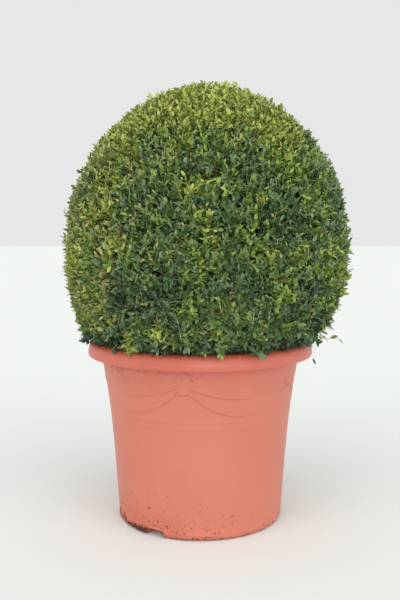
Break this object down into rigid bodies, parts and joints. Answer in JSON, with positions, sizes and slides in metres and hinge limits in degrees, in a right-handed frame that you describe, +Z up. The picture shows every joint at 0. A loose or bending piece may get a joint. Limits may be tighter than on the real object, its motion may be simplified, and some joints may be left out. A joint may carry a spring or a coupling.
{
  "type": "box topiary ball in pot",
  "caption": "Clipped evergreen box ball with small leaves on a short forked stem, growing in a round terracotta-coloured plastic patio pot with a rolled lip.",
  "frame": {"origin": "centre of the pot's flat underside, on the surface that it stands on", "axes": "+Z up, through the middle of the pot; +X to the right seen from the front; the pot's front, with a drain notch on its left, faces -Y"},
  "size_m": [0.4844, 0.4856, 0.7481],
  "materials": {
    "pot_plastic": "matte moulded plastic with a soft sheen",
    "soil": "damp crumbly potting soil",
    "bark": "greyish tan furrowed bark",
    "foliage": "small leathery leaves with a waxy gloss"
  },
  "bodies": {
    "root": {"pot_body": "pot_plastic", "pot_lip": "pot_plastic", "potting_soil": "soil", "stem": "bark", "bough_1": "bark", "bough_2": "bark", "bough_3": "bark", "bough_4": "bark", "bough_5": "bark", "clipped_crown": "foliage"}
  },
  "joints": []
}
